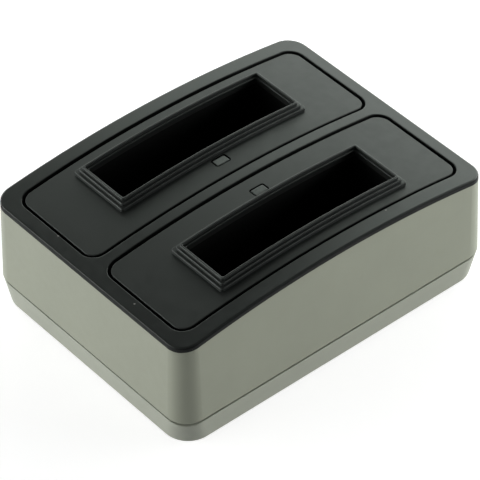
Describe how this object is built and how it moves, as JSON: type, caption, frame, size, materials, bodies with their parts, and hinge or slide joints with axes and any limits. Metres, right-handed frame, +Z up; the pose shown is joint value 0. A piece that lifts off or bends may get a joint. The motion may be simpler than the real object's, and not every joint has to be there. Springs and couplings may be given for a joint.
{
  "type": "camera battery charger",
  "caption": "Desktop camera battery charger: drafted grey housing, dark arched cover and slim battery wells with stepped collars and sprung contacts, with a small power inlet at the rear.",
  "frame": {"origin": "on the surface that the feet stand on, under the middle of the charger", "axes": "+X along the length, to the right seen from the front; +Y from the front to the rear, where the power inlet is; +Z up"},
  "size_m": [0.06, 0.0452, 0.0239],
  "materials": {
    "grey_plastic": "satin moulded plastic, fine spark texture",
    "dark_plastic": "satin moulded plastic, fine spark texture",
    "window_plastic": "smoked clear plastic",
    "board": "green solder mask",
    "socket_steel": "tinned sheet steel",
    "black_plastic": "plain moulded plastic",
    "lamp": "clear resin",
    "component": "plain ceramic",
    "contact_metal": "gold plated",
    "spring_steel": "drawn wire",
    "screw_steel": "zinc plated",
    "foot_rubber": "matt rubber"
  },
  "bodies": {
    "case": {"housing": "grey_plastic", "bottom_cover": "grey_plastic", "top_cover": "dark_plastic", "main_board": "board", "usb_socket_shell": "socket_steel", "usb_socket_tongue": "black_plastic", "chip_resistors": "component", "chip_capacitors": "component", "case_screws": "screw_steel", "board_screws": "screw_steel", "rear_bay_insert": "dark_plastic", "rear_light_pipe": "window_plastic", "rear_led": "lamp", "rear_charge_chip": "black_plastic", "rear_plus_barrel": "contact_metal", "rear_plus_spring": "spring_steel", "rear_minus_barrel": "contact_metal", "rear_minus_spring": "spring_steel", "rear_left_foot": "foot_rubber", "rear_right_foot": "foot_rubber", "front_bay_insert": "dark_plastic", "front_light_pipe": "window_plastic", "front_led": "lamp", "front_charge_chip": "black_plastic", "front_plus_barrel": "contact_metal", "front_plus_spring": "spring_steel", "front_minus_barrel": "contact_metal", "front_minus_spring": "spring_steel", "front_left_foot": "foot_rubber", "front_right_foot": "foot_rubber"},
    "rear_plus_contact": {"rear_plus_plunger": "contact_metal"},
    "rear_minus_contact": {"rear_minus_plunger": "contact_metal"},
    "front_plus_contact": {"front_plus_plunger": "contact_metal"},
    "front_minus_contact": {"front_minus_plunger": "contact_metal"}
  },
  "joints": [
    {"name": "rear_plus_press", "type": "slide", "parent": "case", "child": "rear_plus_contact", "axis": [0, 0, 1], "range_m": [-0.0012, 0], "stiffness_N_per_m": 400, "springref_m": 0.0008, "deforming": ["rear_plus_spring"]},
    {"name": "rear_minus_press", "type": "slide", "parent": "case", "child": "rear_minus_contact", "axis": [0, 0, 1], "range_m": [-0.0012, 0], "stiffness_N_per_m": 400, "springref_m": 0.0008, "deforming": ["rear_minus_spring"]},
    {"name": "front_plus_press", "type": "slide", "parent": "case", "child": "front_plus_contact", "axis": [0, 0, 1], "range_m": [-0.0012, 0], "stiffness_N_per_m": 400, "springref_m": 0.0008, "deforming": ["front_plus_spring"]},
    {"name": "front_minus_press", "type": "slide", "parent": "case", "child": "front_minus_contact", "axis": [0, 0, 1], "range_m": [-0.0012, 0], "stiffness_N_per_m": 400, "springref_m": 0.0008, "deforming": ["front_minus_spring"]}
  ]
}
